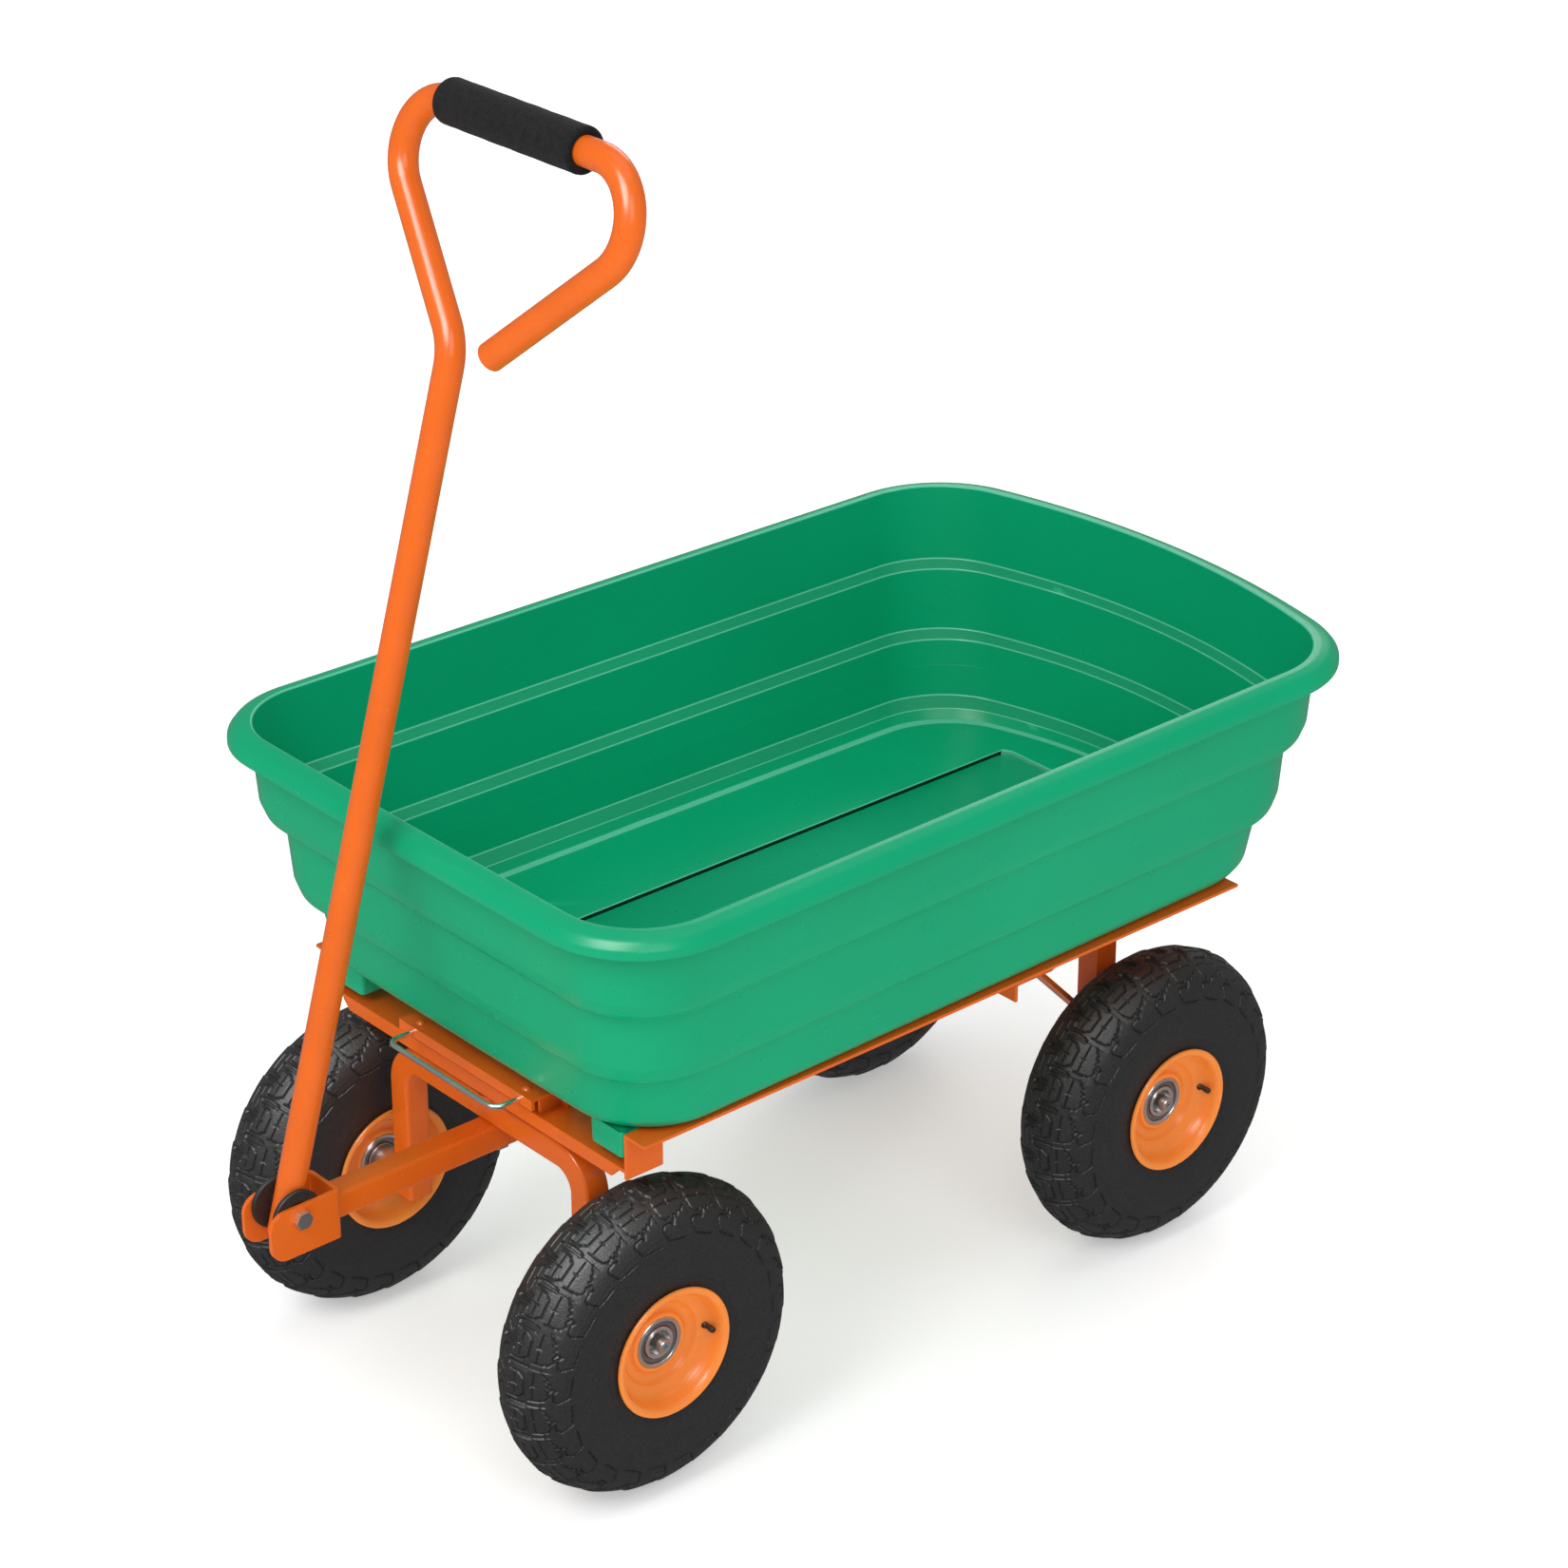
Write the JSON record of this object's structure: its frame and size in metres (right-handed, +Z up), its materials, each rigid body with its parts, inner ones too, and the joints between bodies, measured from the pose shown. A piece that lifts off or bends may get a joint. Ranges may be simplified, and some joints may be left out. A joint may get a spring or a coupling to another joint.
{
  "type": "tipping garden cart",
  "caption": "Four-wheel garden cart with a tipping plastic tub, sprung release bail, steered front axle and folding pull handle.",
  "frame": {"origin": "centre of the whole cart's bounding box, on the ground, with the handle parked and the tub down", "axes": "+X forward towards the pull handle, +Y to the cart's left, +Z up"},
  "size_m": [0.9469, 0.5304, 1.0359],
  "materials": {
    "orange_paint": "glossy powder coat",
    "green_plastic": "satin, smooth",
    "tyre_rubber": "matte, block tread",
    "black_rubber": "matte",
    "black_foam": "fine closed-cell foam",
    "black_plastic": "matte",
    "zinc_steel": "bright zinc plate",
    "bright_chrome": "polished"
  },
  "bodies": {
    "chassis": {"left_side_rail": "orange_paint", "right_side_rail": "orange_paint", "front_cross_member": "orange_paint", "mid_cross_member": "orange_paint", "rear_cross_member": "orange_paint", "left_rear_leg": "orange_paint", "right_rear_leg": "orange_paint", "left_rear_brace": "orange_paint", "right_rear_brace": "orange_paint", "latch_channel": "orange_paint", "latch_rivets": "zinc_steel", "kingpin": "zinc_steel", "kingpin_washer": "zinc_steel", "kingpin_nut": "zinc_steel", "tip_rod": "zinc_steel", "tip_rod_caps": "zinc_steel", "rear_stub_axles": "zinc_steel"},
    "steering": {"axle_yoke": "orange_paint", "kingpin_bush": "orange_paint", "tow_bar": "orange_paint", "clevis": "orange_paint", "clevis_bolt": "zinc_steel", "clevis_nut": "zinc_steel", "front_stub_axles": "zinc_steel"},
    "pull_handle": {"handle_tube": "orange_paint", "foam_grip": "black_foam", "friction_discs": "black_plastic"},
    "tub": {"tub": "green_plastic", "tub_runners": "green_plastic", "front_keeper": "zinc_steel", "hinge_brackets": "zinc_steel", "tub_screws": "zinc_steel"},
    "bail": {"bail": "bright_chrome", "bail_collars": "zinc_steel", "latch_springs": "zinc_steel"},
    "front_left_wheel": {"front_left_tyre": "tyre_rubber", "front_left_rim_outer": "orange_paint", "front_left_rim_inner": "orange_paint", "front_left_hub_sleeve": "zinc_steel", "front_left_bearings": "bright_chrome", "front_left_valve": "black_rubber"},
    "front_right_wheel": {"front_right_tyre": "tyre_rubber", "front_right_rim_outer": "orange_paint", "front_right_rim_inner": "orange_paint", "front_right_hub_sleeve": "zinc_steel", "front_right_bearings": "bright_chrome", "front_right_valve": "black_rubber"},
    "rear_left_wheel": {"rear_left_tyre": "tyre_rubber", "rear_left_rim_outer": "orange_paint", "rear_left_rim_inner": "orange_paint", "rear_left_hub_sleeve": "zinc_steel", "rear_left_bearings": "bright_chrome", "rear_left_valve": "black_rubber"},
    "rear_right_wheel": {"rear_right_tyre": "tyre_rubber", "rear_right_rim_outer": "orange_paint", "rear_right_rim_inner": "orange_paint", "rear_right_hub_sleeve": "zinc_steel", "rear_right_bearings": "bright_chrome", "rear_right_valve": "black_rubber"}
  },
  "joints": [
    {"name": "steer", "type": "hinge", "parent": "chassis", "child": "steering", "pos_m": [0.25145, 0, 0.25], "axis": [0, 0, 1], "range_deg": [-25, 25]},
    {"name": "handle_pivot", "type": "hinge", "parent": "steering", "child": "pull_handle", "pos_m": [0.44645, 0, 0.235], "axis": [0, 1, 0], "range_deg": [0, 118]},
    {"name": "tub_tip", "type": "hinge", "parent": "chassis", "child": "tub", "pos_m": [-0.34955, 0, 0.3], "axis": [0, -1, 0], "range_deg": [0, 85]},
    {"name": "bail_pull", "type": "slide", "parent": "chassis", "child": "bail", "axis": [1, 0, 0], "range_m": [0, 0.013], "stiffness_N_per_m": 600, "springref_m": -0.004, "deforming": ["latch_springs"]},
    {"name": "front_left_roll", "type": "hinge", "parent": "steering", "child": "front_left_wheel", "pos_m": [0.25145, 0.1733, 0.128], "axis": [0, 1, 0], "continuous": true},
    {"name": "front_right_roll", "type": "hinge", "parent": "steering", "child": "front_right_wheel", "pos_m": [0.25145, -0.1733, 0.128], "axis": [0, 1, 0], "continuous": true},
    {"name": "rear_left_roll", "type": "hinge", "parent": "chassis", "child": "rear_left_wheel", "pos_m": [-0.28055, 0.1733, 0.128], "axis": [0, 1, 0], "continuous": true},
    {"name": "rear_right_roll", "type": "hinge", "parent": "chassis", "child": "rear_right_wheel", "pos_m": [-0.28055, -0.1733, 0.128], "axis": [0, 1, 0], "continuous": true}
  ]
}
